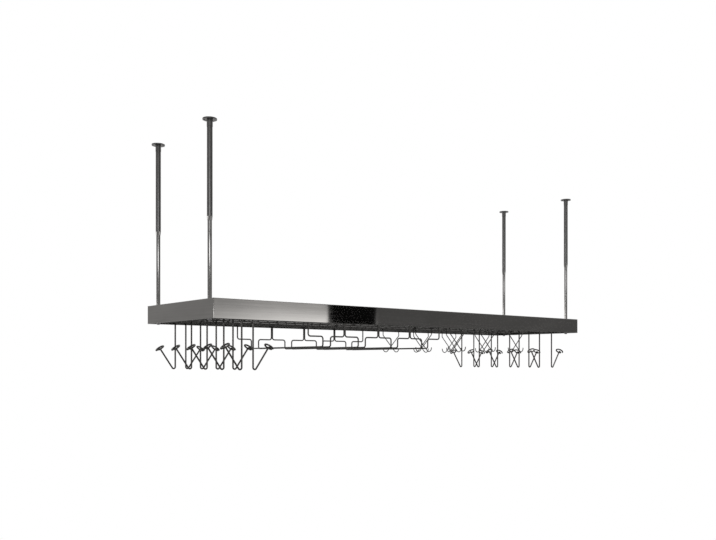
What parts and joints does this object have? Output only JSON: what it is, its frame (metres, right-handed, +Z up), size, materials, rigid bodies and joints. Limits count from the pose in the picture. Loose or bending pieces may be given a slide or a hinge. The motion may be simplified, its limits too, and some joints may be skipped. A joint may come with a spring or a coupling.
{
  "type": "hanging wine rack",
  "caption": "Ceiling-hung rack: a long shallow tray on telescoping posts, with sliding wire rails for stemmed feet, ring-headed hooks and anchor-shaped hooks below.",
  "frame": {"origin": "the middle of the four ceiling flanges, in the plane of their top faces", "axes": "+Z up to the ceiling, +X along the tray to the right, +Y from the front wall to the back wall"},
  "size_m": [1.5116, 0.3931, 0.6235],
  "materials": {
    "polished_steel": "mirror-polished dark steel sheet",
    "tube_steel": "dark satin tube and flange",
    "rod_steel": "polished rod and collar",
    "wire_steel": "dark polished wire",
    "screw_steel": "satin screws"
  },
  "bodies": {
    "ceiling_side": {"ceiling_flanges": "tube_steel", "lock_collars": "rod_steel", "upper_tube_front_left": "tube_steel", "upper_tube_front_right": "tube_steel", "upper_tube_back_left": "tube_steel", "upper_tube_back_right": "tube_steel"},
    "tray": {"front_wall": "polished_steel", "back_wall": "polished_steel", "left_end": "polished_steel", "right_end": "polished_steel", "hanging_rails": "wire_steel", "tie_bars": "wire_steel", "floor_rods": "wire_steel", "rod_screws": "screw_steel", "lower_rod_front_left": "rod_steel", "lower_rod_front_right": "rod_steel", "lower_rod_back_left": "rod_steel", "lower_rod_back_right": "rod_steel"},
    "foot_rail_1": {"foot_rail_1": "wire_steel"},
    "foot_rail_2": {"foot_rail_2": "wire_steel"},
    "foot_rail_3": {"foot_rail_3": "wire_steel"},
    "foot_rail_4": {"foot_rail_4": "wire_steel"},
    "foot_rail_5": {"foot_rail_5": "wire_steel"},
    "ring_hook_left_outer_1": {"ring_hook_left_outer_1": "wire_steel"},
    "ring_hook_left_outer_2": {"ring_hook_left_outer_2": "wire_steel"},
    "ring_hook_left_outer_3": {"ring_hook_left_outer_3": "wire_steel"},
    "ring_hook_left_outer_4": {"ring_hook_left_outer_4": "wire_steel"},
    "ring_hook_left_outer_5": {"ring_hook_left_outer_5": "wire_steel"},
    "ring_hook_left_inner_1": {"ring_hook_left_inner_1": "wire_steel"},
    "ring_hook_left_inner_2": {"ring_hook_left_inner_2": "wire_steel"},
    "ring_hook_left_inner_3": {"ring_hook_left_inner_3": "wire_steel"},
    "ring_hook_left_inner_4": {"ring_hook_left_inner_4": "wire_steel"},
    "ring_hook_left_inner_5": {"ring_hook_left_inner_5": "wire_steel"},
    "ring_hook_right_inner_1": {"ring_hook_right_inner_1": "wire_steel"},
    "ring_hook_right_inner_2": {"ring_hook_right_inner_2": "wire_steel"},
    "ring_hook_right_inner_3": {"ring_hook_right_inner_3": "wire_steel"},
    "ring_hook_right_inner_4": {"ring_hook_right_inner_4": "wire_steel"},
    "ring_hook_right_inner_5": {"ring_hook_right_inner_5": "wire_steel"},
    "ring_hook_right_outer_1": {"ring_hook_right_outer_1": "wire_steel"},
    "ring_hook_right_outer_2": {"ring_hook_right_outer_2": "wire_steel"},
    "ring_hook_right_outer_3": {"ring_hook_right_outer_3": "wire_steel"},
    "ring_hook_right_outer_4": {"ring_hook_right_outer_4": "wire_steel"},
    "ring_hook_right_outer_5": {"ring_hook_right_outer_5": "wire_steel"},
    "anchor_hook_front_1": {"anchor_hook_front_1": "wire_steel"},
    "anchor_hook_front_2": {"anchor_hook_front_2": "wire_steel"},
    "anchor_hook_front_3": {"anchor_hook_front_3": "wire_steel"},
    "anchor_hook_middle_1": {"anchor_hook_middle_1": "wire_steel"},
    "anchor_hook_middle_2": {"anchor_hook_middle_2": "wire_steel"},
    "anchor_hook_middle_3": {"anchor_hook_middle_3": "wire_steel"},
    "anchor_hook_back_1": {"anchor_hook_back_1": "wire_steel"},
    "anchor_hook_back_2": {"anchor_hook_back_2": "wire_steel"},
    "anchor_hook_back_3": {"anchor_hook_back_3": "wire_steel"}
  },
  "joints": [
    {"name": "tray_height", "type": "slide", "parent": "ceiling_side", "child": "tray", "axis": [0, 0, 1], "range_m": [-0.08, 0.085]},
    {"name": "foot_rail_1_slide", "type": "slide", "parent": "tray", "child": "foot_rail_1", "axis": [1, 0, 0], "range_m": [-0.008, 0.008]},
    {"name": "foot_rail_2_slide", "type": "slide", "parent": "tray", "child": "foot_rail_2", "axis": [1, 0, 0], "range_m": [-0.008, 0.008]},
    {"name": "foot_rail_3_slide", "type": "slide", "parent": "tray", "child": "foot_rail_3", "axis": [1, 0, 0], "range_m": [-0.008, 0.008]},
    {"name": "foot_rail_4_slide", "type": "slide", "parent": "tray", "child": "foot_rail_4", "axis": [1, 0, 0], "range_m": [-0.008, 0.008]},
    {"name": "foot_rail_5_slide", "type": "slide", "parent": "tray", "child": "foot_rail_5", "axis": [1, 0, 0], "range_m": [-0.008, 0.008]},
    {"name": "ring_hook_left_outer_1_slide", "type": "slide", "parent": "tray", "child": "ring_hook_left_outer_1", "axis": [1, 0, 0], "range_m": [-0.01, 0.01]},
    {"name": "ring_hook_left_outer_2_slide", "type": "slide", "parent": "tray", "child": "ring_hook_left_outer_2", "axis": [1, 0, 0], "range_m": [-0.01, 0.01]},
    {"name": "ring_hook_left_outer_3_slide", "type": "slide", "parent": "tray", "child": "ring_hook_left_outer_3", "axis": [1, 0, 0], "range_m": [-0.01, 0.01]},
    {"name": "ring_hook_left_outer_4_slide", "type": "slide", "parent": "tray", "child": "ring_hook_left_outer_4", "axis": [1, 0, 0], "range_m": [-0.01, 0.01]},
    {"name": "ring_hook_left_outer_5_slide", "type": "slide", "parent": "tray", "child": "ring_hook_left_outer_5", "axis": [1, 0, 0], "range_m": [-0.01, 0.01]},
    {"name": "ring_hook_left_inner_1_slide", "type": "slide", "parent": "tray", "child": "ring_hook_left_inner_1", "axis": [1, 0, 0], "range_m": [-0.01, 0.01]},
    {"name": "ring_hook_left_inner_2_slide", "type": "slide", "parent": "tray", "child": "ring_hook_left_inner_2", "axis": [1, 0, 0], "range_m": [-0.01, 0.01]},
    {"name": "ring_hook_left_inner_3_slide", "type": "slide", "parent": "tray", "child": "ring_hook_left_inner_3", "axis": [1, 0, 0], "range_m": [-0.01, 0.01]},
    {"name": "ring_hook_left_inner_4_slide", "type": "slide", "parent": "tray", "child": "ring_hook_left_inner_4", "axis": [1, 0, 0], "range_m": [-0.01, 0.01]},
    {"name": "ring_hook_left_inner_5_slide", "type": "slide", "parent": "tray", "child": "ring_hook_left_inner_5", "axis": [1, 0, 0], "range_m": [-0.01, 0.01]},
    {"name": "ring_hook_right_inner_1_slide", "type": "slide", "parent": "tray", "child": "ring_hook_right_inner_1", "axis": [1, 0, 0], "range_m": [-0.01, 0.01]},
    {"name": "ring_hook_right_inner_2_slide", "type": "slide", "parent": "tray", "child": "ring_hook_right_inner_2", "axis": [1, 0, 0], "range_m": [-0.01, 0.01]},
    {"name": "ring_hook_right_inner_3_slide", "type": "slide", "parent": "tray", "child": "ring_hook_right_inner_3", "axis": [1, 0, 0], "range_m": [-0.0025, 0.01]},
    {"name": "ring_hook_right_inner_4_slide", "type": "slide", "parent": "tray", "child": "ring_hook_right_inner_4", "axis": [1, 0, 0], "range_m": [-0.01, 0.01]},
    {"name": "ring_hook_right_inner_5_slide", "type": "slide", "parent": "tray", "child": "ring_hook_right_inner_5", "axis": [1, 0, 0], "range_m": [-0.01, 0.01]},
    {"name": "ring_hook_right_outer_1_slide", "type": "slide", "parent": "tray", "child": "ring_hook_right_outer_1", "axis": [1, 0, 0], "range_m": [-0.01, 0.01]},
    {"name": "ring_hook_right_outer_2_slide", "type": "slide", "parent": "tray", "child": "ring_hook_right_outer_2", "axis": [1, 0, 0], "range_m": [-0.01, 0.01]},
    {"name": "ring_hook_right_outer_3_slide", "type": "slide", "parent": "tray", "child": "ring_hook_right_outer_3", "axis": [1, 0, 0], "range_m": [-0.01, 0.01]},
    {"name": "ring_hook_right_outer_4_slide", "type": "slide", "parent": "tray", "child": "ring_hook_right_outer_4", "axis": [1, 0, 0], "range_m": [-0.01, 0.01]},
    {"name": "ring_hook_right_outer_5_slide", "type": "slide", "parent": "tray", "child": "ring_hook_right_outer_5", "axis": [1, 0, 0], "range_m": [-0.01, 0.01]},
    {"name": "anchor_hook_front_1_slide", "type": "slide", "parent": "tray", "child": "anchor_hook_front_1", "axis": [1, 0, 0], "range_m": [-0.02, 0.009]},
    {"name": "anchor_hook_front_2_slide", "type": "slide", "parent": "tray", "child": "anchor_hook_front_2", "axis": [1, 0, 0], "range_m": [-0.02, 0.02]},
    {"name": "anchor_hook_front_3_slide", "type": "slide", "parent": "tray", "child": "anchor_hook_front_3", "axis": [1, 0, 0], "range_m": [-0.02, 0.02]},
    {"name": "anchor_hook_middle_1_slide", "type": "slide", "parent": "tray", "child": "anchor_hook_middle_1", "axis": [1, 0, 0], "range_m": [-0.02, 0.009]},
    {"name": "anchor_hook_middle_2_slide", "type": "slide", "parent": "tray", "child": "anchor_hook_middle_2", "axis": [1, 0, 0], "range_m": [-0.02, 0.02]},
    {"name": "anchor_hook_middle_3_slide", "type": "slide", "parent": "tray", "child": "anchor_hook_middle_3", "axis": [1, 0, 0], "range_m": [-0.02, 0.0025]},
    {"name": "anchor_hook_back_1_slide", "type": "slide", "parent": "tray", "child": "anchor_hook_back_1", "axis": [1, 0, 0], "range_m": [-0.02, 0.009]},
    {"name": "anchor_hook_back_2_slide", "type": "slide", "parent": "tray", "child": "anchor_hook_back_2", "axis": [1, 0, 0], "range_m": [-0.02, 0.02]},
    {"name": "anchor_hook_back_3_slide", "type": "slide", "parent": "tray", "child": "anchor_hook_back_3", "axis": [1, 0, 0], "range_m": [-0.02, 0.02]}
  ]
}
